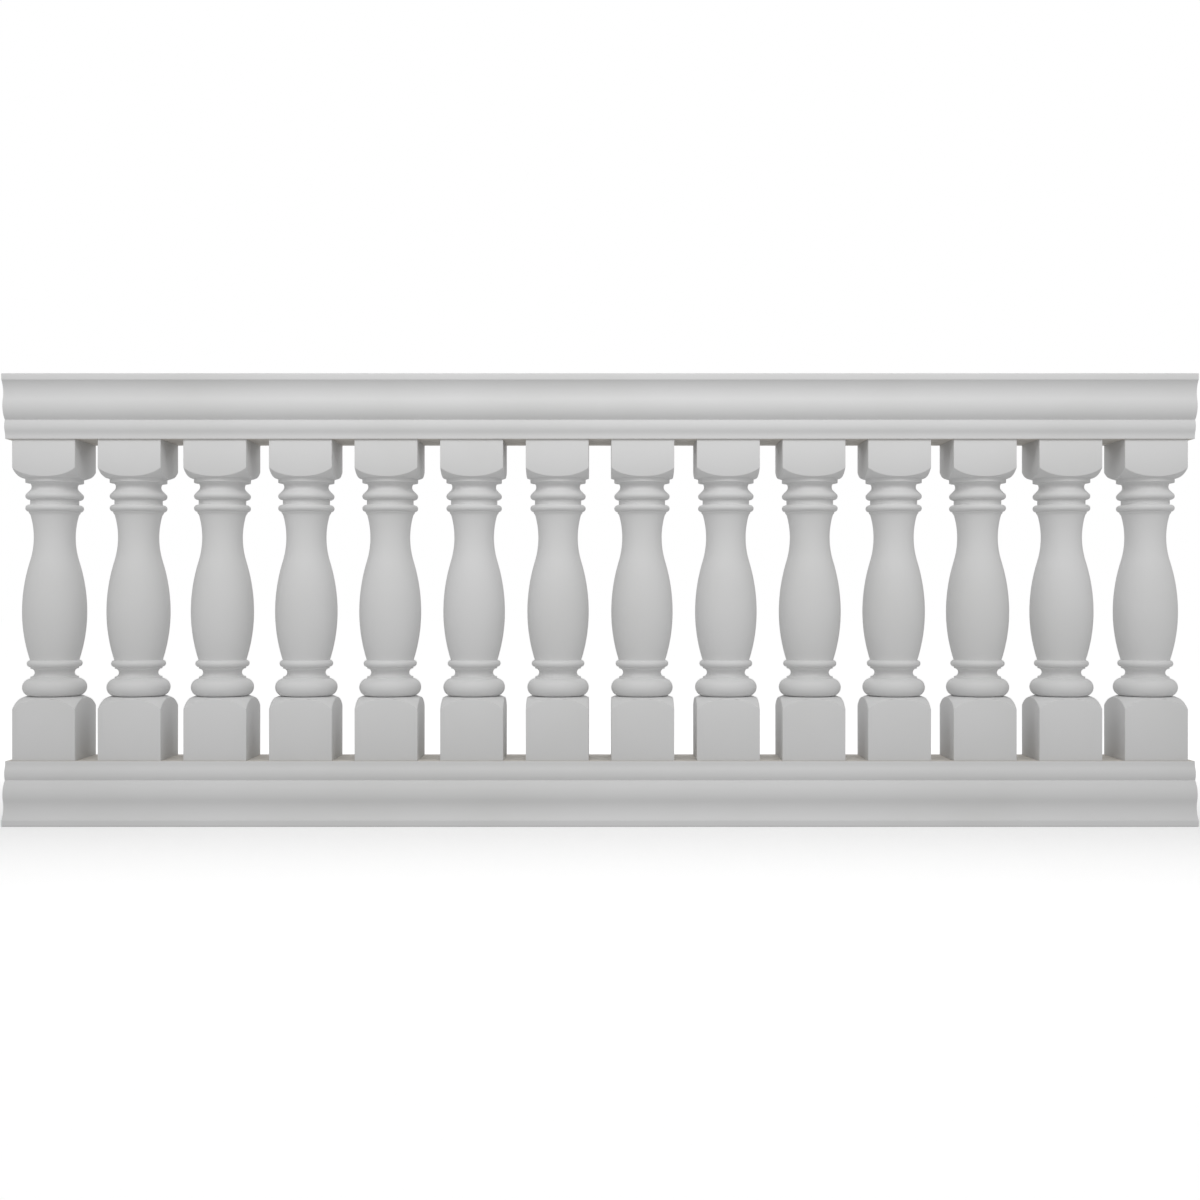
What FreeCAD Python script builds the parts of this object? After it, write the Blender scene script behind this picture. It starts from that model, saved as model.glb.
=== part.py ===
"""Deck railing section: a row of turned balusters between two moulded rails, each on a steel core pipe.

Millimetres. X runs along the rails, Y from front to back and Z up. The origin is on the floor,
under the middle of the section. Both rails are cut from one moulding, the top one turned over.
"""
import FreeCAD
import Part
import math
import os

# The whole section
RAIL_LENGTH = 2438.4
BALUSTER_HEIGHT = 660.4
BALUSTER_GAP = 46.5        # wanted between blocks, the row then divides the rail evenly
END_REVEAL = 12.7          # from each end of a rail to the first block

# Rail moulding, as heights that stack up from the outer face to the face that takes the balusters
RAIL_WIDTH = 177.8
NOSE_HEIGHT = 14.5
COVE_HEIGHT = 24.5         # from the nose to the deepest line of the cove
OGEE_HEIGHT = 26.0         # from there to the foremost line of the ovolo
OVOLO_HEIGHT = 28.0        # from there to the crease behind the ovolo
BEAD_HEIGHT = 13.0         # from the crease to the foremost line of the bead
RETURN_HEIGHT = 22.0       # from there to the flat fillet
RAIL_FILLET_HEIGHT = 4.0

# Rail moulding, as depths behind the face of the nose
NOSE_ROUND = 3.0
NOSE_STEP = 1.2
COVE_DEPTH = 10.4
OVOLO_DEPTH = 5.7
CREASE_DEPTH = 18.6
BEAD_DEPTH = 15.0
RAIL_FILLET_DEPTH = 20.3

# Baluster blocks, with shoulders turned through the corners of the square blank
BLOCK_WIDTH = 129.0
FOOT_BLOCK_HEIGHT = 126.8  # at the middle of a face
FOOT_SHOULDER_FALL = 20.7  # from the middle of a face to its corner
FOOT_SHOULDER_RADIUS = 73.9
CAP_BLOCK_HEIGHT = 75.9
CAP_SHOULDER_FALL = 17.8
CAP_SHOULDER_RADIUS = 59.6

# Turned work, as depths below the faces of the blank
FULL_CUT = 0.2             # torus and belly, just inside the faces
SEAT_CUT = 17.0            # where the torus stands on its seat
BASE_FILLET_CUT = 16.5
VASE_FOOT_CUT = 15.7
NECK_CUT = 23.2
COLLAR_CUT = 6.6
COLLAR_NECK_CUT = 16.1
COVE_CUT = 18.9
ANNULET_CUT = 6.6

# Turned work, as radii and heights of the members
SEAT_WIDTH = 10.6          # flat on top of the foot block, round the torus
TORUS_RADIUS = 18.8
LOWER_FILLET_HEIGHT = 3.7
SCOTIA_RADIUS = 8.4
UPPER_FILLET_HEIGHT = 3.3
BASE_BEAD_RADIUS = 7.2
BELLY_AT = 0.335           # shares of the height of the vase, which fills what the rest leaves
NECK_AT = 0.85
HOLLOW_SHARE = 0.32        # share of the curve from belly to neck that is hollow
SWEEP_HEIGHT = 5.5         # flare from the vase to the ring above it
RING_HEIGHT = 3.0
COLLAR_RADIUS = 6.9
COLLAR_SPACE = 11.3        # straight neck between the two collars
COLLAR_TO_COVE = 19.6      # from the middle of the upper collar to that of the cove
COVE_RADIUS = 10.5
COVE_TO_ANNULET = 8.5
ANNULET_HEIGHT = 8.1
TURNING_ALLOWANCE = 3.0    # the shoulders are turned this far past the corners of the blank

# Core pipes
PIPE_DIAMETER = 38.4
PIPE_WALL = 1.65
PIPE_STUB = 44.5           # beyond each end of a baluster, inside the rail
PIPE_CLEARANCE = 0.3       # round the pipe, and past its ends

# Worked out from the sizes above
HALF_BLOCK = BLOCK_WIDTH / 2
BORE_RADIUS = PIPE_DIAMETER / 2 + PIPE_CLEARANCE
RAIL_HEIGHT = (NOSE_HEIGHT + COVE_HEIGHT + OGEE_HEIGHT + OVOLO_HEIGHT + BEAD_HEIGHT
               + RETURN_HEIGHT + RAIL_FILLET_HEIGHT)
SECTION_HEIGHT = 2 * RAIL_HEIGHT + BALUSTER_HEIGHT
ROW_LENGTH = RAIL_LENGTH - 2 * END_REVEAL
BALUSTER_COUNT = round((ROW_LENGTH + BALUSTER_GAP) / (BLOCK_WIDTH + BALUSTER_GAP))
PITCH = (ROW_LENGTH - BLOCK_WIDTH) / (BALUSTER_COUNT - 1)

ORIGIN = FreeCAD.Vector(0, 0, 0)
ALONG = FreeCAD.Vector(1, 0, 0)
UP = FreeCAD.Vector(0, 0, 1)


class Outline:
    """Lines and arcs drawn end to end in the XZ plane, as points (x, z)."""

    def __init__(self, x, z):
        self.start = (x, z)
        self.here = (x, z)
        self.edges = []

    def line(self, x, z):
        self.edges.append(Part.LineSegment(vector(*self.here), vector(x, z)).toShape())
        self.here = (x, z)

    def arc(self, middle, end):
        """Arc through a middle point."""
        self.edges.append(Part.Arc(vector(*self.here), vector(*middle), vector(*end)).toShape())
        self.here = end

    def arc_about(self, centre, end):
        """The shorter arc about a centre."""
        to_chord = ((self.here[0] + end[0]) / 2 - centre[0], (self.here[1] + end[1]) / 2 - centre[1])
        scale = math.dist(centre, end) / math.hypot(*to_chord)
        self.arc((centre[0] + to_chord[0] * scale, centre[1] + to_chord[1] * scale), end)

    def leave_upright(self, x, z):
        """Arc that starts upright."""
        self.arc_about(upright_centre(self.here, (x, z)), (x, z))

    def arrive_upright(self, x, z):
        """Arc that ends upright. Gives its centre."""
        centre = upright_centre((x, z), self.here)
        self.arc_about(centre, (x, z))
        return centre

    def ogee(self, x, z, first_share=0.5):
        """Two arcs, tangent to each other and upright at both ends. Gives the centre of the second."""
        run = x - self.here[0]
        rise = z - self.here[1]
        self.leave_upright(self.here[0] + run * first_share, self.here[1] + rise * first_share)
        return self.arrive_upright(x, z)

    def carry_on(self, centre, x, z):
        """Arc that runs on smoothly from the last one, which was drawn about centre."""
        normal = (centre[0] - self.here[0], centre[1] - self.here[1])
        chord = (x - self.here[0], z - self.here[1])
        scale = (chord[0] ** 2 + chord[1] ** 2) / (2 * (chord[0] * normal[0] + chord[1] * normal[1]))
        self.arc_about((self.here[0] + normal[0] * scale, self.here[1] + normal[1] * scale), (x, z))


class Shoulder:
    """Arched end of a block, turned as an arc about the axis. Heights are from the block's own end."""

    def __init__(self, block_height, fall, radius):
        corner = HALF_BLOCK * math.sqrt(2)
        run = corner - HALF_BLOCK
        chord = math.hypot(run, fall)
        back = math.sqrt(radius ** 2 - (chord / 2) ** 2) / chord
        self.radius = radius
        self.centre = ((HALF_BLOCK + corner) / 2 - fall * back, block_height - fall / 2 - run * back)
        self.rim = corner + TURNING_ALLOWANCE

    def height(self, at_radius):
        return self.centre[1] + math.sqrt(self.radius ** 2 - (at_radius - self.centre[0]) ** 2)


def vector(x, z):
    return FreeCAD.Vector(x, 0, z)


def upright_centre(apex, other):
    """Centre of the circle through two points that stands upright at the first of them."""
    run = other[0] - apex[0]
    rise = other[1] - apex[1]
    return (apex[0] + (run ** 2 + rise ** 2) / (2 * run), apex[1])


def cross_tangent(upper, upper_radius, lower, lower_radius):
    """Where the slanted line between two circles touches each, the lower circle on its inner side."""
    towards = math.atan2(lower[1] - upper[1], lower[0] - upper[0])
    angle = towards - math.acos((upper_radius + lower_radius) / math.dist(upper, lower))
    normal = (math.cos(angle), math.sin(angle))
    return ((upper[0] + upper_radius * normal[0], upper[1] + upper_radius * normal[1]),
            (lower[0] - lower_radius * normal[0], lower[1] - lower_radius * normal[1]))


def draw_foot(outline):
    """Foot block, torus, scotia between two fillets, and bead, up to the foot of the vase."""
    shoulder = Shoulder(FOOT_BLOCK_HEIGHT, FOOT_SHOULDER_FALL, FOOT_SHOULDER_RADIUS)
    seat = HALF_BLOCK - SEAT_CUT
    seat_edge = seat + SEAT_WIDTH
    seat_z = shoulder.height(seat_edge)
    outline.line(shoulder.rim, 0)
    outline.line(shoulder.rim, shoulder.height(shoulder.rim))
    outline.arc_about(shoulder.centre, (seat_edge, seat_z))
    outline.line(seat, seat_z)

    torus_reach = HALF_BLOCK - FULL_CUT
    torus_x = torus_reach - TORUS_RADIUS
    torus_z = seat_z + math.sqrt(TORUS_RADIUS ** 2 - (seat - torus_x) ** 2)
    fillet = HALF_BLOCK - BASE_FILLET_CUT
    z = torus_z + math.sqrt(TORUS_RADIUS ** 2 - (fillet - torus_x) ** 2)
    outline.arc((torus_reach, torus_z), (fillet, z))

    z += LOWER_FILLET_HEIGHT
    outline.line(fillet, z)
    outline.arc((fillet - SCOTIA_RADIUS, z + SCOTIA_RADIUS), (fillet, z + 2 * SCOTIA_RADIUS))
    z += 2 * SCOTIA_RADIUS + UPPER_FILLET_HEIGHT
    outline.line(fillet, z)

    vase_foot = HALF_BLOCK - VASE_FOOT_CUT
    bead_z = z + BASE_BEAD_RADIUS
    bead_top = bead_z + math.sqrt(BASE_BEAD_RADIUS ** 2 - (vase_foot - fillet) ** 2)
    outline.arc((fillet + BASE_BEAD_RADIUS, bead_z), (vase_foot, bead_top))


def draw_vase(outline, top):
    """Swelling belly and hollow neck, up to where the neck sweeps out."""
    foot = outline.here[1]
    height = top - foot
    outline.arrive_upright(HALF_BLOCK - FULL_CUT, foot + BELLY_AT * height)
    neck_z = foot + NECK_AT * height
    hollow = outline.ogee(HALF_BLOCK - NECK_CUT, neck_z, first_share=1 - HOLLOW_SHARE)
    radius = hollow[0] - outline.here[0]
    outline.arc_about(hollow, (hollow[0] - math.sqrt(radius ** 2 - (top - neck_z) ** 2), top))
    return hollow


def draw_baluster():
    """Half section of a baluster round its bore, from the foot to the top."""
    cap = Shoulder(CAP_BLOCK_HEIGHT, CAP_SHOULDER_FALL, CAP_SHOULDER_RADIUS)
    annulet = HALF_BLOCK - ANNULET_CUT
    annulet_top = BALUSTER_HEIGHT - cap.height(annulet)
    annulet_z = annulet_top - ANNULET_HEIGHT
    cove = (HALF_BLOCK - COVE_CUT + COVE_RADIUS, annulet_z - COVE_TO_ANNULET)
    collar_reach = HALF_BLOCK - COLLAR_CUT
    collar = (collar_reach - COLLAR_RADIUS, cove[1] - COLLAR_TO_COVE)
    neck_top = collar[1] - COLLAR_RADIUS
    neck_z = neck_top - COLLAR_SPACE
    ring_top = neck_z - 2 * COLLAR_RADIUS
    ring_z = ring_top - RING_HEIGHT
    collar_neck = HALF_BLOCK - COLLAR_NECK_CUT

    outline = Outline(BORE_RADIUS, 0)
    draw_foot(outline)
    hollow = draw_vase(outline, ring_z - SWEEP_HEIGHT)
    outline.carry_on(hollow, collar[0], ring_z)
    outline.line(collar[0], ring_top)
    outline.arc((collar_reach, ring_top + COLLAR_RADIUS), (collar[0], neck_z))
    outline.line(collar_neck, neck_z)
    outline.line(collar_neck, neck_top)
    outline.line(collar[0], neck_top)

    cove_touch, collar_touch = cross_tangent(cove, COVE_RADIUS, collar, COLLAR_RADIUS)
    outline.arc((collar_reach, collar[1]), collar_touch)
    outline.line(*cove_touch)
    cove_top = cove[0] - math.sqrt(COVE_RADIUS ** 2 - COVE_TO_ANNULET ** 2)
    outline.arc((cove[0] - COVE_RADIUS, cove[1]), (cove_top, annulet_z))
    outline.line(annulet, annulet_z)
    outline.line(annulet, annulet_top)

    cap_centre = (cap.centre[0], BALUSTER_HEIGHT - cap.centre[1])
    outline.arc_about(cap_centre, (cap.rim, BALUSTER_HEIGHT - cap.height(cap.rim)))
    outline.line(cap.rim, BALUSTER_HEIGHT)
    outline.line(BORE_RADIUS, BALUSTER_HEIGHT)
    outline.line(*outline.start)
    return outline


def make_baluster():
    """Turned round its axis and kept inside the square blank, which leaves the two blocks."""
    turned = Part.Face(Part.Wire(draw_baluster().edges)).revolve(ORIGIN, UP, 360)
    corner = FreeCAD.Vector(-HALF_BLOCK, -HALF_BLOCK, 0)
    blank = Part.makeBox(BLOCK_WIDTH, BLOCK_WIDTH, BALUSTER_HEIGHT, corner)
    return turned.common(blank)


def make_pipe():
    """Core pipe, standing with its stub below the foot of its baluster."""
    length = BALUSTER_HEIGHT + 2 * PIPE_STUB
    foot = FreeCAD.Vector(0, 0, -PIPE_STUB)
    outer = Part.makeCylinder(PIPE_DIAMETER / 2, length, foot)
    return outer.cut(Part.makeCylinder(PIPE_DIAMETER / 2 - PIPE_WALL, length, foot))


def draw_rail_side():
    """One side of the rail moulding, from the outer face up to the face that takes the balusters."""
    nose = RAIL_WIDTH / 2
    outline = Outline(nose - NOSE_ROUND, 0)
    outline.arc_about((nose - NOSE_ROUND, NOSE_ROUND), (nose, NOSE_ROUND))
    outline.line(nose, NOSE_HEIGHT - math.sqrt(NOSE_ROUND ** 2 - (NOSE_ROUND - NOSE_STEP) ** 2))
    outline.leave_upright(nose - NOSE_STEP, NOSE_HEIGHT)
    z = NOSE_HEIGHT + COVE_HEIGHT
    outline.arrive_upright(nose - COVE_DEPTH, z)
    z += OGEE_HEIGHT
    outline.ogee(nose - OVOLO_DEPTH, z)
    z += OVOLO_HEIGHT
    outline.leave_upright(nose - CREASE_DEPTH, z)
    z += BEAD_HEIGHT
    outline.arrive_upright(nose - BEAD_DEPTH, z)
    z += RETURN_HEIGHT
    outline.ogee(nose - RAIL_FILLET_DEPTH, z)
    outline.line(nose - RAIL_FILLET_DEPTH, RAIL_HEIGHT)
    return outline


def make_bottom_rail():
    """Moulding at its full length, with a blind socket for the foot of each core pipe."""
    side = draw_rail_side()
    other_side = [edge.mirror(ORIGIN, ALONG) for edge in side.edges]
    outer = Part.LineSegment(vector(-side.start[0], side.start[1]), vector(*side.start)).toShape()
    inner = Part.LineSegment(vector(-side.here[0], side.here[1]), vector(*side.here)).toShape()
    section = Part.Face(Part.Wire(Part.__sortEdges__(side.edges + other_side + [outer, inner])))
    section.rotate(ORIGIN, UP, 90)
    section.translate(ALONG * (-RAIL_LENGTH / 2))
    moulding = section.extrude(ALONG * RAIL_LENGTH)

    depth = PIPE_STUB + PIPE_CLEARANCE
    sockets = [Part.makeCylinder(BORE_RADIUS, 2 * depth, FreeCAD.Vector(x, 0, RAIL_HEIGHT - depth))
               for x in row_places()]
    return moulding.cut(sockets)


def row_places():
    """Places of the balusters along the rails."""
    return [(place - (BALUSTER_COUNT - 1) / 2) * PITCH for place in range(BALUSTER_COUNT)]


def save(shape, node):
    shape.exportStep(f"parts/{node}.step")


def main():
    os.makedirs("parts", exist_ok=True)
    bottom_rail = make_bottom_rail()
    save(bottom_rail, "bottom_rail")
    save(bottom_rail.mirror(UP * (SECTION_HEIGHT / 2), UP), "top_rail")

    baluster = make_baluster()
    pipe = make_pipe()
    for number, x in enumerate(row_places(), start=1):
        seat = FreeCAD.Vector(x, 0, RAIL_HEIGHT)
        save(baluster.translated(seat), f"baluster_{number:02d}")
        save(pipe.translated(seat), f"core_pipe_{number:02d}")


if __name__ == "__main__":
    main()
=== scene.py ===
"""Deck railing section: turned balusters between two moulded rails, finished for a studio picture.

Laid out as an add-on and run as a script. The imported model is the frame, and each piece is
modelled in its place there, in metres: X along the rails, Y from front to back, Z up.
"""
import math

import bpy
from bpy.props import FloatProperty, FloatVectorProperty, IntProperty, PointerProperty
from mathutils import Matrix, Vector


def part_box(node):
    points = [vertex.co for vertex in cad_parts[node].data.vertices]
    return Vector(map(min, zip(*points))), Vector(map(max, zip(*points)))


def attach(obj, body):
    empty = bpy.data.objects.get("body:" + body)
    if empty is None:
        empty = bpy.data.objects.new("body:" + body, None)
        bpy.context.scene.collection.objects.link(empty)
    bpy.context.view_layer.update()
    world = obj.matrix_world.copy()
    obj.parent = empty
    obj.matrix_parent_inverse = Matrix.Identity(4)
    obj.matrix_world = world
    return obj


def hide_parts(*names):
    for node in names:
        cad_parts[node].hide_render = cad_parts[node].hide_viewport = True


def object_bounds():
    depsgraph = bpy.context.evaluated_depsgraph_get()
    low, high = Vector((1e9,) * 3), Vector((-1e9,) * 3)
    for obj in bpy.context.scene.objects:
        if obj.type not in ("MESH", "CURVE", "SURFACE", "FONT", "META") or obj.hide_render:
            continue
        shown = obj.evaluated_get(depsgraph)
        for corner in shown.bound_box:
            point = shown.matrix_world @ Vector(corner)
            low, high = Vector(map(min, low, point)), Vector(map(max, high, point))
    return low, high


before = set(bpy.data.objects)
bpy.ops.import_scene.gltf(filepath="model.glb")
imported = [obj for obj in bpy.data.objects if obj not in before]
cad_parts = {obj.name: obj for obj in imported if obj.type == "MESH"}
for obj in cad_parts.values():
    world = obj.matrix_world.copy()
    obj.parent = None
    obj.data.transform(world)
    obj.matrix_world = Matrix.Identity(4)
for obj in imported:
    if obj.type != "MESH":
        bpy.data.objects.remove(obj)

bl_info = {
    "name": "Deck Railing Section",
    "version": (1, 0, 0),
    "blender": (4, 5, 0),
    "location": "View3D > Sidebar > Railing",
    "description": "Models and finishes a deck railing section around its construction frame",
    "category": "Object",
}

# The frame
CAD_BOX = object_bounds()
BODY = "root"
RAIL_LOW, RAIL_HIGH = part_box("bottom_rail")
TURNED_LOW, TURNED_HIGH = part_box("baluster_01")
PIPE_LOW, PIPE_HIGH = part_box("core_pipe_01")
BALUSTER_NODES = sorted(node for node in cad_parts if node.startswith("baluster_"))
PIPE_NODES = sorted(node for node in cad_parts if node.startswith("core_pipe_"))

# Directions and units
ACROSS = Vector((1, 0, 0))
DEEP = Vector((0, 1, 0))
UP = Vector((0, 0, 1))
MM_PER_METRE = 1000

# Modelling
WELD = 1e-6              # vertices closer than this are one
STRAY_SHARE = 0.25       # vertices closer than this share of an eased edge are merged
LEAST_ARC_STEPS = 2
BLANK_LENGTHS = 2        # length of the square blank in balusters, so that its ends cut nothing

# Finishes: scales count features per metre, a relief is a bump's strength and its height in metres
WHITE = (1, 1, 1, 1)
PATCH_SCALE, PATCH_RANGE = 3.1, (0.35, 0.6)
PEEL_SCALE, PEEL_RELIEF = 620.0, (0.3, 0.00012)
WAVE_SCALE, WAVE_RELIEF = 24.0, (0.12, 0.0004)
PRIMER_ROUGHNESS, PRIMER_SPECULAR = (0.56, 0.68), 0.35
# The rails' inner faces, where the balusters meet them, are coloured darker and warmer than the
# primer, in soft patches
INNER_TONE_SCALE, INNER_TONE_RANGE = 38.0, (0.35, 0.65)
INNER_TONE_REACH = 0.0003      # how far the darker, warmer inner tone reaches round the rail's eased edges
CRYSTAL_SCALE, CRYSTAL_RANGE = 160.0, (0.1, 0.9)
ZINC_SCALE, ZINC_RELIEF, ZINC_ROUGHNESS = 900.0, (0.2, 0.00008), (0.34, 0.52)
FLOOR_ROUGHNESS, FLOOR_SPECULAR = 0.9, 0.1


# Properties

def length(name, description, default):
    """A length, in metres."""
    return FloatProperty(name=name, description=description, default=default, min=0.0,
                         precision=4, subtype="DISTANCE")


def millimetres(name, description, default):
    """A length that is given here in millimetres."""
    return length(name, description, default / MM_PER_METRE)


def share(name, description, default):
    """A part of a whole."""
    return FloatProperty(name=name, description=description, default=default, min=0.0, max=1.0,
                         subtype="FACTOR")


def angle(name, description, degrees):
    """An angle that is given here in degrees."""
    return FloatProperty(name=name, description=description, default=math.radians(degrees),
                         subtype="ANGLE")


def strength(name, description, default):
    """The strength of a glow: at one, white shows as white."""
    return FloatProperty(name=name, description=description, default=default, min=0.0)


def power(name, description, default):
    """The power of a light, in watts."""
    return FloatProperty(name=name, description=description, default=default, min=0.0,
                         subtype="POWER")


def count(name, description, default, least):
    """A number of steps."""
    return IntProperty(name=name, description=description, default=default, min=least)


def colour(name, description, default):
    """A plain colour."""
    return FloatVectorProperty(name=name, description=description, default=default, size=3,
                               min=0.0, max=1.0, subtype="COLOR")


def position(name, description, default):
    """A place in the frame, in metres."""
    return FloatVectorProperty(name=name, description=description, default=default, size=3,
                               subtype="TRANSLATION", unit="LENGTH")


def group(name, description, kind):
    """A group of settings."""
    return PointerProperty(name=name, description=description, type=kind)


class RailingRailSizes(bpy.types.PropertyGroup):
    """The rail moulding: heights stack up from its outer face, depths lie behind its nose."""

    rail_length: length("Length", "From end to end", RAIL_HIGH.x - RAIL_LOW.x)
    width: length("Width", "Across the nose", RAIL_HIGH.y - RAIL_LOW.y)
    nose_height: millimetres("Nose", "Height of the nose", 14.5)
    cove_height: millimetres("Cove", "From the nose to the deepest line of the cove", 24.5)
    ogee_height: millimetres("Ogee", "From the cove to the foremost line of the ovolo", 26.0)
    ovolo_height: millimetres("Ovolo", "From there to the crease behind the ovolo", 28.0)
    bead_height: millimetres("Bead", "From the crease to the foremost line of the bead", 13.0)
    return_height: millimetres("Return", "From the bead to the flat fillet", 22.0)
    fillet_height: millimetres("Fillet", "Height of the flat fillet", 4.0)
    nose_round: millimetres("Nose round", "Radius on the edges of the nose", 3.0)
    nose_step: millimetres("Nose step", "Depth of the step under the nose", 1.2)
    cove_depth: millimetres("Cove depth", "Depth of the cove", 10.4)
    ovolo_depth: millimetres("Ovolo depth", "Depth of the ovolo's front", 5.7)
    crease_depth: millimetres("Crease depth", "Depth of the crease", 18.6)
    bead_depth: millimetres("Bead depth", "Depth of the bead's front", 15.0)
    fillet_depth: millimetres("Fillet depth", "Depth of the flat fillet", 20.3)


class RailingBalusterSizes(bpy.types.PropertyGroup):
    """A turned baluster: cuts are depths below the faces of its square blank."""

    block_width: length("Block", "Width of the square blank", TURNED_HIGH.x - TURNED_LOW.x)
    height: length("Height", "From the foot to the top", TURNED_HIGH.z - TURNED_LOW.z)
    foot_block: millimetres("Foot block", "Height at the middle of a face", 126.8)
    foot_fall: millimetres("Foot fall", "From the middle of a face to its corner", 20.7)
    foot_radius: millimetres("Foot shoulder", "Radius of the shoulder", 73.9)
    cap_block: millimetres("Cap block", "Height at the middle of a face", 75.9)
    cap_fall: millimetres("Cap fall", "From the middle of a face to its corner", 17.8)
    cap_radius: millimetres("Cap shoulder", "Radius of the shoulder", 59.6)
    full_cut: millimetres("Full cut", "Cut at the torus and the belly", 0.2)
    seat_cut: millimetres("Seat cut", "Cut where the torus stands on its seat", 17.0)
    seat_width: millimetres("Seat", "Width of the flat seat round the torus", 10.6)
    base_fillet_cut: millimetres("Base fillet cut", "Cut at the fillets of the base", 16.5)
    vase_foot_cut: millimetres("Vase foot cut", "Cut at the foot of the vase", 15.7)
    neck_cut: millimetres("Neck cut", "Cut at the neck of the vase", 23.2)
    collar_cut: millimetres("Collar cut", "Cut at the collars", 6.6)
    collar_neck_cut: millimetres("Collar neck cut", "Cut between the collars", 16.1)
    cove_cut: millimetres("Cove cut", "Cut at the cove under the cap", 18.9)
    annulet_cut: millimetres("Annulet cut", "Cut at the flat ring under the cap", 6.6)
    torus_radius: millimetres("Torus", "Radius of the torus", 18.8)
    lower_fillet: millimetres("Lower fillet", "Height of the fillet on the torus", 3.7)
    scotia_radius: millimetres("Scotia", "Radius of the scotia", 8.4)
    upper_fillet: millimetres("Upper fillet", "Height of the fillet over the scotia", 3.3)
    base_bead: millimetres("Base bead", "Radius of the bead under the vase", 7.2)
    belly_at: share("Belly at", "Place of the belly on the height of the vase", 0.335)
    neck_at: share("Neck at", "Place of the neck on the height of the vase", 0.85)
    hollow_share: share("Hollow share", "Share of the curve to the neck that is hollow", 0.32)
    sweep_height: millimetres("Sweep", "Height of the flare over the vase", 5.5)
    ring_height: millimetres("Ring", "Height of the ring over the flare", 3.0)
    collar_radius: millimetres("Collar", "Radius of the collars", 6.9)
    collar_space: millimetres("Collar space", "Straight neck between the collars", 11.3)
    collar_to_cove: millimetres("Collar to cove", "From the upper collar to the cove", 19.6)
    cove_radius: millimetres("Cove", "Radius of the cove", 10.5)
    cove_to_annulet: millimetres("Cove to annulet", "From the cove to the flat ring", 8.5)
    annulet_height: millimetres("Annulet", "Height of the flat ring", 8.1)
    allowance: millimetres("Allowance", "How far the shoulders are turned past the corners", 3.0)


class RailingMeshSettings(bpy.types.PropertyGroup):
    """How finely the pieces are modelled."""

    facet: millimetres("Facet", "How far a facet may lie from its curve", 0.04)
    turning_steps: count("Turning steps", "Steps round a baluster", 72, least=12)
    socket_steps: count("Socket steps", "Steps round a socket", 48, least=12)
    socket_clearance: millimetres("Socket clearance", "Room round a pipe and past its end", 0.3)
    edge_round: millimetres("Edge round", "Width of the eased edges", 0.7)
    edge_steps: count("Edge steps", "Steps across an eased edge", 2, least=1)
    crease: angle("Crease", "Edges that turn more than this are eased and stay crisp", 30)


class RailingFinishes(bpy.types.PropertyGroup):
    """Colours of the finishes."""

    primer: colour("Primer", "Pale grey primer on rails and balusters", (0.72, 0.72, 0.72))
    primer_shade: colour("Primer shade", "Darker patches of the primer", (0.69, 0.69, 0.686))
    # The rails' inner faces, where the balusters meet them, are coloured darker and warmer than the
    # primer
    bare: colour("Inner tone", "Rail faces that take the balusters", (0.66, 0.63, 0.585))
    bare_shade: colour("Bare shade", "Darker patches of the inner tone", (0.61, 0.575, 0.525))
    steel: colour("Steel", "Galvanised steel of the pipes", (0.56, 0.55, 0.53))
    steel_shade: colour("Steel shade", "Darker crystals of the zinc", (0.42, 0.415, 0.40))
    floor: colour("Floor", "Pale studio floor", (0.95, 0.95, 0.95))


class RailingStageSettings(bpy.types.PropertyGroup):
    """Camera, light and floor."""

    lens: FloatProperty(name="Lens", description="Focal length in millimetres", default=44.86,
                        min=1.0, subtype="DISTANCE_CAMERA")
    distance: length("Distance", "From the camera to the middle of the row", 3.1326)
    sky: strength("Sky", "Strength of the white light all round", 0.55)
    key_power: power("Key", "Power of the soft box in front", 10.9)
    key_place: position("Key place", "Place of the soft box in front", (0.0, -1.4, 2.0))
    back_power: power("Back light", "Power of the soft box behind", 5.6)
    back_place: position("Back place", "Place of the soft box behind", (0.0, 2.6, 1.9))
    box_width: length("Box width", "Width of the soft boxes", 4.0)
    box_depth: length("Box depth", "Depth of the soft boxes", 0.8)
    box_spread: angle("Box spread", "Angle that the soft boxes light", 110)
    floor_side: length("Floor side", "Side of the floor", 60.0)
    near_glow: strength("Near glow", "Light through the floor at the railing", 0.135)
    far_glow: strength("Far glow", "Light through the floor far from the railing", 0.48)
    glow_reach: length("Glow reach", "Distance at which the floor glows in full", 1.2)


class RailingSettings(bpy.types.PropertyGroup):
    """Everything that a user may change."""

    rail: group("Rails", "Sizes of the rail moulding", RailingRailSizes)
    baluster: group("Balusters", "Sizes of a turned baluster", RailingBalusterSizes)
    mesh: group("Mesh", "How finely the pieces are modelled", RailingMeshSettings)
    finish: group("Finishes", "Colours of the finishes", RailingFinishes)
    stage: group("Stage", "Camera, light and floor", RailingStageSettings)


# Drawing and modelling tools

def clear_selection():
    """Leaves nothing selected."""
    bpy.ops.object.select_all(action="DESELECT")


def edit_all():
    """Opens the active piece in edit mode, with all of its vertices selected."""
    bpy.ops.object.mode_set(mode="EDIT")
    bpy.ops.mesh.select_mode(type="VERT")
    bpy.ops.mesh.select_all(action="SELECT")


def only(piece):
    """Makes a piece the one that operators act on."""
    clear_selection()
    piece.select_set(True)
    bpy.context.view_layer.objects.active = piece


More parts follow.
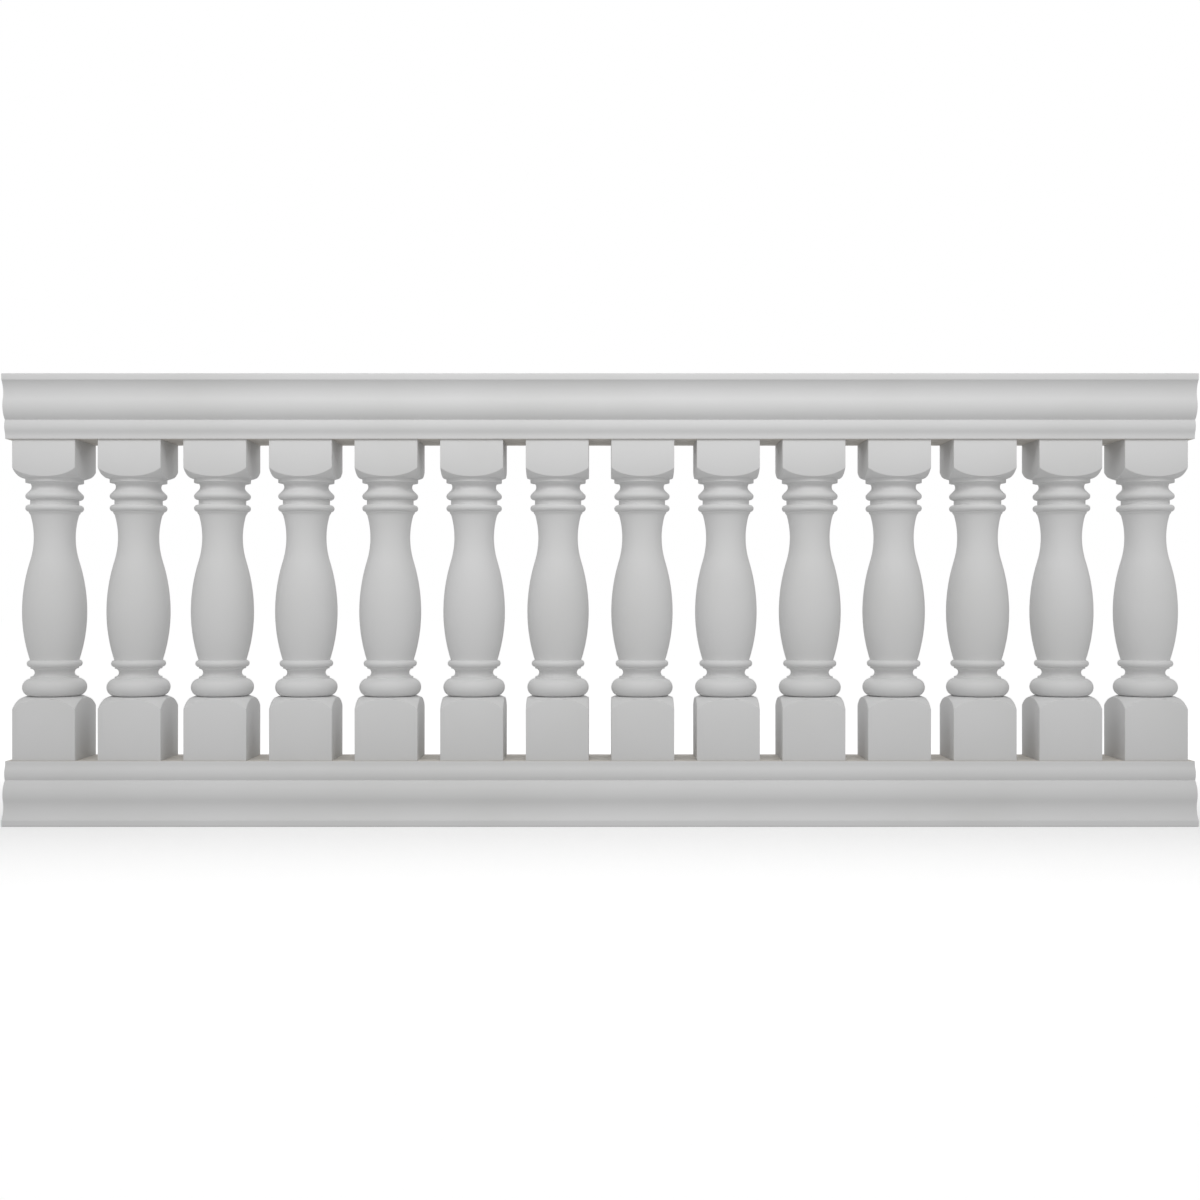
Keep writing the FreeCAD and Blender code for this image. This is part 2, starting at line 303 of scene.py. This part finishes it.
class Pencil:
    """Draws an outline on a new mesh, from one vertex on, with u across and v up its own plane."""

    def __init__(self, name, across, foot, up, start, facet):
        self.across = across
        self.foot = foot
        self.up = up
        self.facet = facet
        self.start = start
        self.here = start
        clear_selection()
        bpy.ops.mesh.primitive_plane_add()
        self.piece = bpy.context.object
        self.piece.name = name
        self.piece.data.name = name
        edit_all()
        bpy.ops.mesh.merge(type="CENTER")
        bpy.ops.transform.translate(value=self.place(start))

    def place(self, point):
        """A point of the outline, in the frame."""
        return self.foot + self.across * point[0] + self.up * point[1]

    def line(self, u, v):
        """Straight line."""
        step = self.place((u, v)) - self.place(self.here)
        bpy.ops.mesh.extrude_region_move(TRANSFORM_OT_translate={"value": step})
        self.here = (u, v)

    def turn(self, centre, sweep):
        """Arc about a centre, through an angle that is positive from across towards up."""
        radius = math.dist(centre, self.here)
        finest = 2 * math.acos(1 - self.facet / radius)
        steps = max(LEAST_ARC_STEPS, math.ceil(abs(sweep) / finest))
        bpy.ops.mesh.spin(steps=steps, angle=sweep, center=self.place(centre),
                          axis=self.up.cross(self.across))
        end = bearing(centre, self.here) + sweep
        self.here = (centre[0] + radius * math.cos(end), centre[1] + radius * math.sin(end))

    def arc_about(self, centre, end):
        """The shorter arc about a centre."""
        sweep = bearing(centre, end) - bearing(centre, self.here)
        self.turn(centre, (sweep + math.pi) % (2 * math.pi) - math.pi)
        self.here = end

    def leave_upright(self, u, v):
        """Arc that starts upright."""
        self.arc_about(upright_centre(self.here, (u, v)), (u, v))

    def arrive_upright(self, u, v):
        """Arc that ends upright. Gives its centre."""
        centre = upright_centre((u, v), self.here)
        self.arc_about(centre, (u, v))
        return centre

    def ogee(self, u, v, first_share=0.5):
        """Two tangent arcs that are upright at both ends. Gives the centre of the second."""
        run = u - self.here[0]
        rise = v - self.here[1]
        self.leave_upright(self.here[0] + run * first_share, self.here[1] + rise * first_share)
        return self.arrive_upright(u, v)

    def carry_on(self, centre, u, v):
        """Arc that runs on smoothly from the last one, which was drawn about centre."""
        normal = (centre[0] - self.here[0], centre[1] - self.here[1])
        chord = (u - self.here[0], v - self.here[1])
        along = chord[0] * normal[0] + chord[1] * normal[1]
        scale = (chord[0] ** 2 + chord[1] ** 2) / (2 * along)
        self.arc_about((self.here[0] + normal[0] * scale, self.here[1] + normal[1] * scale), (u, v))


def bearing(centre, point):
    """Angle of a point about a centre, from across towards up."""
    return math.atan2(point[1] - centre[1], point[0] - centre[0])


def upright_centre(apex, other):
    """Centre of the circle through two points that stands upright at the first of them."""
    run = other[0] - apex[0]
    rise = other[1] - apex[1]
    return (apex[0] + (run ** 2 + rise ** 2) / (2 * run), apex[1])


def cross_tangent(upper, upper_radius, lower, lower_radius):
    """Where the slanted line between two circles touches each, the lower one on its inner side."""
    lean = math.acos((upper_radius + lower_radius) / math.dist(upper, lower))
    heading = bearing(upper, lower) - lean
    normal = (math.cos(heading), math.sin(heading))
    return ((upper[0] + upper_radius * normal[0], upper[1] + upper_radius * normal[1]),
            (lower[0] - lower_radius * normal[0], lower[1] - lower_radius * normal[1]))


class Shoulder:
    """Arched end of a block. Heights are from the block's own end."""

    def __init__(self, half_block, block_height, fall, radius, allowance):
        corner = half_block * math.sqrt(2)
        run = corner - half_block
        chord = math.hypot(run, fall)
        back = math.sqrt(radius ** 2 - (chord / 2) ** 2) / chord
        self.radius = radius
        self.centre = ((half_block + corner) / 2 - fall * back,
                       block_height - fall / 2 - run * back)
        self.rim = corner + allowance

    def height(self, at_radius):
        """Height of the arch at a distance from the axis."""
        return self.centre[1] + math.sqrt(self.radius ** 2 - (at_radius - self.centre[0]) ** 2)


def weld_outwards():
    """Welds the mesh in edit mode and turns its faces outwards."""
    bpy.ops.mesh.select_all(action="SELECT")
    bpy.ops.mesh.remove_doubles(threshold=WELD)
    bpy.ops.mesh.normals_make_consistent(inside=False)


def cut_with(piece, tool, operation):
    """Applies a boolean with a tool, which is used up."""
    only(piece)
    cut = piece.modifiers.new("cut", "BOOLEAN")
    cut.operation = operation
    cut.solver = "EXACT"
    cut.object = tool
    bpy.ops.object.modifier_apply(modifier=cut.name)
    bpy.data.objects.remove(tool)
    if not piece.data.polygons:
        raise RuntimeError(f"A cut leaves nothing of {piece.name}: its sizes don't fit together.")


def ease_edges(piece, mesh):
    """Rounds the sharp edges a little and shades the rest smooth."""
    only(piece)
    edit_all()
    bpy.ops.mesh.remove_doubles(threshold=mesh.edge_round * STRAY_SHARE)
    bpy.ops.mesh.select_all(action="DESELECT")
    bpy.ops.mesh.select_mode(type="EDGE")
    bpy.ops.mesh.edges_select_sharp(sharpness=mesh.crease)
    bpy.ops.mesh.bevel(offset=mesh.edge_round, segments=mesh.edge_steps, affect="EDGES",
                       clamp_overlap=False)
    bpy.ops.object.mode_set(mode="OBJECT")
    bpy.ops.object.shade_smooth_by_angle(angle=mesh.crease)


def dress(piece, material, node):
    """Gives a piece its finish and puts it in the place of a node."""
    piece.data.materials.clear()
    piece.data.materials.append(material)
    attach(piece, BODY)
    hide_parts(node)


# Balusters

def draw_base(pencil, sizes):
    """Foot block, torus, scotia between two fillets, and bead, up to the foot of the vase."""
    half = sizes.block_width / 2
    shoulder = Shoulder(half, sizes.foot_block, sizes.foot_fall, sizes.foot_radius, sizes.allowance)
    seat = half - sizes.seat_cut
    seat_edge = seat + sizes.seat_width
    seat_v = shoulder.height(seat_edge)
    pencil.line(shoulder.rim, 0)
    pencil.line(shoulder.rim, shoulder.height(shoulder.rim))
    pencil.arc_about(shoulder.centre, (seat_edge, seat_v))
    pencil.line(seat, seat_v)

    torus_u = half - sizes.full_cut - sizes.torus_radius
    torus_v = seat_v + math.sqrt(sizes.torus_radius ** 2 - (seat - torus_u) ** 2)
    fillet = half - sizes.base_fillet_cut
    v = torus_v + math.sqrt(sizes.torus_radius ** 2 - (fillet - torus_u) ** 2)
    pencil.arc_about((torus_u, torus_v), (fillet, v))

    v += sizes.lower_fillet
    pencil.line(fillet, v)
    pencil.turn((fillet, v + sizes.scotia_radius), -math.pi)
    v += 2 * sizes.scotia_radius + sizes.upper_fillet
    pencil.line(fillet, v)

    vase_foot = half - sizes.vase_foot_cut
    bead_v = v + sizes.base_bead
    bead_top = bead_v + math.sqrt(sizes.base_bead ** 2 - (vase_foot - fillet) ** 2)
    pencil.arc_about((fillet, bead_v), (vase_foot, bead_top))


def draw_vase(pencil, sizes, top):
    """Swelling belly and hollow neck. Gives the centre of the hollow."""
    half = sizes.block_width / 2
    foot = pencil.here[1]
    height = top - foot
    pencil.arrive_upright(half - sizes.full_cut, foot + sizes.belly_at * height)
    neck_v = foot + sizes.neck_at * height
    hollow = pencil.ogee(half - sizes.neck_cut, neck_v, first_share=1 - sizes.hollow_share)
    radius = hollow[0] - pencil.here[0]
    pencil.arc_about(hollow, (hollow[0] - math.sqrt(radius ** 2 - (top - neck_v) ** 2), top))
    return hollow


def draw_half_section(pencil, sizes):
    """Half section of a baluster: from the foot to the top, and back down along its bore."""
    half = sizes.block_width / 2
    cap = Shoulder(half, sizes.cap_block, sizes.cap_fall, sizes.cap_radius, sizes.allowance)
    annulet = half - sizes.annulet_cut
    annulet_top = sizes.height - cap.height(annulet)
    annulet_v = annulet_top - sizes.annulet_height
    cove = (half - sizes.cove_cut + sizes.cove_radius, annulet_v - sizes.cove_to_annulet)
    collar = (half - sizes.collar_cut - sizes.collar_radius, cove[1] - sizes.collar_to_cove)
    neck_top = collar[1] - sizes.collar_radius
    neck_v = neck_top - sizes.collar_space
    ring_top = neck_v - 2 * sizes.collar_radius
    ring_v = ring_top - sizes.ring_height
    collar_neck = half - sizes.collar_neck_cut

    draw_base(pencil, sizes)
    hollow = draw_vase(pencil, sizes, ring_v - sizes.sweep_height)
    pencil.carry_on(hollow, collar[0], ring_v)
    pencil.line(collar[0], ring_top)
    pencil.turn((collar[0], ring_top + sizes.collar_radius), math.pi)
    pencil.line(collar_neck, neck_v)
    pencil.line(collar_neck, neck_top)
    pencil.line(collar[0], neck_top)

    cove_touch, collar_touch = cross_tangent(cove, sizes.cove_radius, collar, sizes.collar_radius)
    pencil.arc_about(collar, collar_touch)
    pencil.line(*cove_touch)
    cove_top = cove[0] - math.sqrt(sizes.cove_radius ** 2 - sizes.cove_to_annulet ** 2)
    pencil.arc_about(cove, (cove_top, annulet_v))
    pencil.line(annulet, annulet_v)
    pencil.line(annulet, annulet_top)

    cap_centre = (cap.centre[0], sizes.height - cap.centre[1])
    pencil.arc_about(cap_centre, (cap.rim, sizes.height - cap.height(cap.rim)))
    pencil.line(cap.rim, sizes.height)
    pencil.line(pencil.start[0], sizes.height)
    pencil.line(*pencil.start)


def turn_baluster(sizes, mesh):
    """One baluster at the middle of the row, turned and then kept inside its square blank."""
    foot = Vector((0, 0, TURNED_LOW.z))
    bore = (PIPE_HIGH.x - PIPE_LOW.x) / 2 + mesh.socket_clearance
    pencil = Pencil("turned_baluster", ACROSS, foot, UP, (bore, 0.0), mesh.facet)
    draw_half_section(pencil, sizes)
    weld_outwards()
    bpy.ops.mesh.select_all(action="SELECT")
    bpy.ops.mesh.spin(steps=mesh.turning_steps, angle=2 * math.pi, center=foot, axis=UP)
    weld_outwards()
    bpy.ops.object.mode_set(mode="OBJECT")

    clear_selection()
    middle = foot + UP * (sizes.height / 2)
    bpy.ops.mesh.primitive_cube_add(size=sizes.block_width, location=middle)
    blank = bpy.context.object
    bpy.ops.transform.resize(value=(1, 1, BLANK_LENGTHS * sizes.height / sizes.block_width))
    cut_with(pencil.piece, blank, "INTERSECT")
    ease_edges(pencil.piece, mesh)
    return pencil.piece


def copy_to(piece, name, x):
    """A copy with its own mesh, moved along the row."""
    only(piece)
    bpy.ops.object.duplicate(linked=False)
    copy = bpy.context.object
    copy.name = name
    copy.data.name = name
    bpy.ops.transform.translate(value=(x, 0, 0))
    bpy.ops.object.transform_apply(location=True, rotation=False, scale=False)
    return copy


class RAILING_OT_balusters(bpy.types.Operator):
    """Turns one baluster and sets a copy of it at each place of the row"""

    bl_idname = "railing.balusters"
    bl_label = "Balusters"

    def execute(self, context):
        settings = context.scene.railing
        material = primer_material("baluster_primer", settings.finish)
        pattern = turn_baluster(settings.baluster, settings.mesh)
        for node in BALUSTER_NODES:
            low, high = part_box(node)
            name = node.replace("baluster", "turned_baluster")
            piece = copy_to(pattern, name, (low.x + high.x) / 2)
            dress(piece, material, node)
        bpy.data.objects.remove(pattern)
        return {"FINISHED"}


# Rails

def draw_rail_half(pencil, sizes):
    """Half of the rail's section, from the middle of the outer face to that of the inner face."""
    nose = sizes.width / 2
    pencil.line(nose - sizes.nose_round, 0)
    pencil.arc_about((nose - sizes.nose_round, sizes.nose_round), (nose, sizes.nose_round))
    nose_back = sizes.nose_round - sizes.nose_step
    pencil.line(nose, sizes.nose_height - math.sqrt(sizes.nose_round ** 2 - nose_back ** 2))
    pencil.leave_upright(nose - sizes.nose_step, sizes.nose_height)
    v = sizes.nose_height + sizes.cove_height
    pencil.arrive_upright(nose - sizes.cove_depth, v)
    v += sizes.ogee_height
    pencil.ogee(nose - sizes.ovolo_depth, v)
    v += sizes.ovolo_height
    pencil.leave_upright(nose - sizes.crease_depth, v)
    v += sizes.bead_height
    pencil.arrive_upright(nose - sizes.bead_depth, v)
    v += sizes.return_height
    pencil.ogee(nose - sizes.fillet_depth, v)
    v += sizes.fillet_height
    pencil.line(nose - sizes.fillet_depth, v)
    pencil.line(0, v)


def drill(piece, inner_z, mesh):
    """Blind sockets for the pipes in the inner face of a rail."""
    stub = TURNED_LOW.z - PIPE_LOW.z
    depth = stub + mesh.socket_clearance
    radius = (PIPE_HIGH.x - PIPE_LOW.x) / 2 + mesh.socket_clearance
    first = (PIPE_LOW.x + PIPE_HIGH.x) / 2
    last_low, last_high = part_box(PIPE_NODES[-1])
    pitch = ((last_low.x + last_high.x) / 2 - first) / (len(PIPE_NODES) - 1)
    clear_selection()
    bpy.ops.mesh.primitive_cylinder_add(vertices=mesh.socket_steps, radius=radius, depth=2 * depth,
                                        location=(first, 0, inner_z))
    drills = bpy.context.object
    row = drills.modifiers.new("row", "ARRAY")
    row.count = len(PIPE_NODES)
    row.use_relative_offset = False
    row.use_constant_offset = True
    row.constant_offset_displace = (pitch, 0, 0)
    bpy.ops.object.modifier_apply(modifier=row.name)
    cut_with(piece, drills, "DIFFERENCE")


def mould_rail(name, outer_z, up, sizes, mesh):
    """A rail on its outer face, drawn as half a section, mirrored, and drawn out to its length."""
    foot = Vector((RAIL_LOW.x, 0, outer_z))
    pencil = Pencil(name, DEEP, foot, up, (0.0, 0.0), mesh.facet)
    draw_rail_half(pencil, sizes)
    height = pencil.here[1]
    bpy.ops.object.mode_set(mode="OBJECT")
    only(pencil.piece)
    mirror = pencil.piece.modifiers.new("other side", "MIRROR")
    mirror.use_axis = (False, True, False)
    mirror.merge_threshold = WELD
    bpy.ops.object.modifier_apply(modifier=mirror.name)

    edit_all()
    bpy.ops.mesh.remove_doubles(threshold=WELD)
    bpy.ops.mesh.select_all(action="SELECT")
    bpy.ops.mesh.edge_face_add()
    drawn_out = ACROSS * sizes.rail_length
    bpy.ops.mesh.extrude_region_move(TRANSFORM_OT_translate={"value": drawn_out})
    weld_outwards()
    bpy.ops.object.mode_set(mode="OBJECT")
    drill(pencil.piece, outer_z + up.z * height, mesh)
    ease_edges(pencil.piece, mesh)
    return pencil.piece


class RAILING_OT_rails(bpy.types.Operator):
    """Moulds the bottom rail and the top rail, which is the same moulding turned over"""

    bl_idname = "railing.rails"
    bl_label = "Rails"

    def execute(self, context):
        settings = context.scene.railing
        material = rail_material(settings.finish)
        top_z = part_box("top_rail")[1].z
        for node, outer_z, up in (("bottom_rail", RAIL_LOW.z, UP), ("top_rail", top_z, -UP)):
            piece = mould_rail(f"moulded_{node}", outer_z, up, settings.rail, settings.mesh)
            dress(piece, material, node)
        return {"FINISHED"}


# Core pipes

class RAILING_OT_core_pipes(bpy.types.Operator):
    """Gives the steel core pipes their galvanised finish"""

    bl_idname = "railing.core_pipes"
    bl_label = "Core pipes"

    def execute(self, context):
        material = steel_material(context.scene.railing.finish)
        for node in PIPE_NODES:
            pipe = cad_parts[node]
            pipe.data.materials.clear()
            pipe.data.materials.append(material)
        return {"FINISHED"}


# Finishes

def new_material(name):
    """An empty material with its nodes, links, shader and Object coordinates."""
    material = bpy.data.materials.new(name)
    material.use_nodes = True
    nodes = material.node_tree.nodes
    shader = nodes["Principled BSDF"]
    coordinates = nodes.new("ShaderNodeTexCoord")
    return material, nodes, material.node_tree.links, shader, coordinates.outputs["Object"]


def noise(nodes, links, place, scale, detail):
    """Soft noise, from nought to one."""
    texture = nodes.new("ShaderNodeTexNoise")
    texture.inputs["Scale"].default_value = scale
    texture.inputs["Detail"].default_value = detail
    links.new(place, texture.inputs["Vector"])
    return texture.outputs["Fac"]


def two_tone(nodes, links, factor, first, second, span):
    """Goes from one colour to another between two values of a factor."""
    ramp = nodes.new("ShaderNodeValToRGB")
    for stop, at, tone in zip(ramp.color_ramp.elements, span, (first, second)):
        stop.position = at
        stop.color = (*tone, 1)
    links.new(factor, ramp.inputs["Fac"])
    return ramp.outputs["Color"]


def between(nodes, links, value, low, high, full=1.0):
    """Fits a value from nought to full into a range."""
    fit = nodes.new("ShaderNodeMapRange")
    fit.inputs["From Max"].default_value = full
    fit.inputs["To Min"].default_value = low
    fit.inputs["To Max"].default_value = high
    links.new(value, fit.inputs["Value"])
    return fit.outputs["Result"]


def bump(nodes, links, height, relief, below=None):
    """Relief on the surface, or on another relief below it."""
    node = nodes.new("ShaderNodeBump")
    node.inputs["Strength"].default_value, node.inputs["Distance"].default_value = relief
    links.new(height, node.inputs["Height"])
    if below:
        links.new(below, node.inputs["Normal"])
    return node.outputs["Normal"]


def reckon(nodes, links, operation, vector, other=(0, 0, 0)):
    """One step of vector arithmetic."""
    step = nodes.new("ShaderNodeVectorMath")
    step.operation = operation
    step.inputs[1].default_value = other
    links.new(vector, step.inputs[0])
    return step.outputs


def primer_material(name, finish):
    """Matt sprayed primer on moulded urethane: faint patches, fine orange peel, slow waviness."""
    material, nodes, links, shader, place = new_material(name)
    patches = noise(nodes, links, place, PATCH_SCALE, detail=3)
    peel = noise(nodes, links, place, PEEL_SCALE, detail=2)
    waves = noise(nodes, links, place, WAVE_SCALE, detail=1)
    primed = two_tone(nodes, links, patches, finish.primer_shade, finish.primer, PATCH_RANGE)
    links.new(primed, shader.inputs["Base Color"])
    links.new(between(nodes, links, peel, *PRIMER_ROUGHNESS), shader.inputs["Roughness"])
    wavy = bump(nodes, links, waves, WAVE_RELIEF)
    links.new(bump(nodes, links, peel, PEEL_RELIEF, wavy), shader.inputs["Normal"])
    shader.inputs["Specular IOR Level"].default_value = PRIMER_SPECULAR
    return material


def rail_material(finish):
    """The same primer, coloured darker and warmer on the faces that look at the balusters."""
    material = primer_material("rail_primer", finish)
    nodes = material.node_tree.nodes
    links = material.node_tree.links
    base = nodes["Principled BSDF"].inputs["Base Color"]
    primed = base.links[0].from_socket
    place = nodes["Texture Coordinate"].outputs["Object"]
    # Faces within the balusters' height, the rails' inner faces, are coloured darker and warmer
    # than the primer
    height = nodes.new("ShaderNodeSeparateXYZ")
    links.new(place, height.inputs["Vector"])
    inside = nodes.new("ShaderNodeMath")
    inside.operation = "COMPARE"
    inside.inputs[1].default_value = (TURNED_LOW.z + TURNED_HIGH.z) / 2
    inside.inputs[2].default_value = (TURNED_HIGH.z - TURNED_LOW.z) / 2 + INNER_TONE_REACH
    links.new(height.outputs["Z"], inside.inputs[0])
    mix = nodes.new("ShaderNodeMix")
    mix.data_type = "RGBA"
    links.new(inside.outputs["Value"], mix.inputs["Factor"])
    links.new(primed, mix.inputs["A"])
    grain = noise(nodes, links, place, INNER_TONE_SCALE, detail=4)
    bare = two_tone(nodes, links, grain, finish.bare_shade, finish.bare, INNER_TONE_RANGE)
    links.new(bare, mix.inputs["B"])
    links.new(mix.outputs["Result"], base)
    return material


def steel_material(finish):
    """Dull galvanised steel: zinc crystals and a fine grain."""
    material, nodes, links, shader, place = new_material("galvanised_steel")
    crystals = nodes.new("ShaderNodeTexVoronoi")
    crystals.inputs["Scale"].default_value = CRYSTAL_SCALE
    links.new(place, crystals.inputs["Vector"])
    grain = noise(nodes, links, place, ZINC_SCALE, detail=3)
    zinc = two_tone(nodes, links, crystals.outputs["Color"], finish.steel_shade, finish.steel,
                    CRYSTAL_RANGE)
    links.new(zinc, shader.inputs["Base Color"])
    links.new(between(nodes, links, grain, *ZINC_ROUGHNESS), shader.inputs["Roughness"])
    links.new(bump(nodes, links, grain, ZINC_RELIEF), shader.inputs["Normal"])
    shader.inputs["Metallic"].default_value = 1.0
    return material


def floor_material(finish, stage):
    """Plain pale floor that glows more the further it lies from the railing."""
    material, nodes, links, shader, place = new_material("pale_floor")
    shader.inputs["Base Color"].default_value = (*finish.floor, 1)
    shader.inputs["Roughness"].default_value = FLOOR_ROUGHNESS
    shader.inputs["Specular IOR Level"].default_value = FLOOR_SPECULAR
    shader.inputs["Emission Color"].default_value = WHITE
    one_side = reckon(nodes, links, "ABSOLUTE", place)["Vector"]
    past_end = reckon(nodes, links, "SUBTRACT", one_side, (CAD_BOX[1].x, 0, 0))["Vector"]
    beside = reckon(nodes, links, "MAXIMUM", past_end)["Vector"]
    away = reckon(nodes, links, "LENGTH", beside)["Value"]
    glow = between(nodes, links, away, stage.near_glow, stage.far_glow, stage.glow_reach)
    links.new(glow, shader.inputs["Emission Strength"])
    return material


# Stage

def lay_floor(settings):
    """A floor that takes shadows and throws no light back: light comes up as from a light table."""
    clear_selection()
    bpy.ops.mesh.primitive_plane_add(size=settings.stage.floor_side)
    floor = bpy.context.object
    floor.name = "studio_floor"
    floor.data.materials.append(floor_material(settings.finish, settings.stage))
    floor.visible_diffuse = False
    floor.visible_glossy = False


def light_sky(stage):
    """White paper all round for the eye, and an even light that is weaker than it looks."""
    world = bpy.data.worlds.new("studio")
    bpy.context.scene.world = world
    world.use_nodes = True
    nodes = world.node_tree.nodes
    links = world.node_tree.links
    light = nodes["Background"]
    light.inputs["Color"].default_value = WHITE
    light.inputs["Strength"].default_value = stage.sky
    paper = nodes.new("ShaderNodeBackground")
    paper.inputs["Color"].default_value = WHITE
    seen = nodes.new("ShaderNodeMixShader")
    links.new(nodes.new("ShaderNodeLightPath").outputs["Is Camera Ray"], seen.inputs["Fac"])
    links.new(light.outputs["Background"], seen.inputs[1])
    links.new(paper.outputs["Background"], seen.inputs[2])
    links.new(seen.outputs["Shader"], nodes["World Output"].inputs["Surface"])


def hang_soft_box(name, stage, place, watts, target):
    """A long soft box that looks at the top rail."""
    clear_selection()
    bpy.ops.object.light_add(type="AREA", location=place)
    box = bpy.context.object
    box.name = name
    box.data.shape = "RECTANGLE"
    box.data.size = stage.box_width
    box.data.size_y = stage.box_depth
    box.data.spread = stage.box_spread
    box.data.energy = watts
    box.rotation_euler = (target - box.location).to_track_quat("-Z", "Y").to_euler()


def set_camera(stage, middle):
    """A camera straight in front of the middle of the railing."""
    clear_selection()
    bpy.ops.object.camera_add(location=middle - DEEP * stage.distance,
                              rotation=(math.pi / 2, 0, 0))
    camera = bpy.context.object
    camera.name = "front_camera"
    camera.data.lens = stage.lens
    bpy.context.scene.camera = camera


class RAILING_OT_stage(bpy.types.Operator):
    """Lays the floor and sets the light and the camera"""

    bl_idname = "railing.stage"
    bl_label = "Stage"

    def execute(self, context):
        settings = context.scene.railing
        stage = settings.stage
        low, high = CAD_BOX
        middle = (low + high) / 2
        top = Vector((middle.x, middle.y, high.z))
        lay_floor(settings)
        light_sky(stage)
        hang_soft_box("key_light", stage, stage.key_place, stage.key_power, top)
        hang_soft_box("back_light", stage, stage.back_place, stage.back_power, top)
        set_camera(stage, middle)
        context.scene.view_settings.view_transform = "Standard"
        return {"FINISHED"}


# Add-on

OPERATORS = (RAILING_OT_rails, RAILING_OT_balusters, RAILING_OT_core_pipes, RAILING_OT_stage)


class RAILING_PT_section(bpy.types.Panel):
    """Steps and settings of the railing section"""

    bl_label = "Railing section"
    bl_space_type = "VIEW_3D"
    bl_region_type = "UI"
    bl_category = "Railing"

    def draw(self, context):
        for operator in OPERATORS:
            self.layout.operator(operator.bl_idname)
        settings = context.scene.railing
        for group_name in RailingSettings.__annotations__:
            box = self.layout.box()
            box.label(text=settings.bl_rna.properties[group_name].name)
            members = getattr(settings, group_name)
            for name in type(members).__annotations__:
                box.prop(members, name)


CLASSES = (
    RailingRailSizes, RailingBalusterSizes, RailingMeshSettings, RailingFinishes,
    RailingStageSettings, RailingSettings, *OPERATORS, RAILING_PT_section,
)


def register():
    """Registers the classes and the settings."""
    for cls in CLASSES:
        bpy.utils.register_class(cls)
    bpy.types.Scene.railing = group("Railing", "Settings of the railing section", RailingSettings)


def unregister():
    """Takes the settings and the classes out again."""
    del bpy.types.Scene.railing
    for cls in reversed(CLASSES):
        bpy.utils.unregister_class(cls)


def main():
    """Builds the railing section and its stage."""
    register()
    bpy.ops.railing.rails()
    bpy.ops.railing.balusters()
    bpy.ops.railing.core_pipes()
    bpy.ops.railing.stage()


if __name__ == "__main__":
    main()
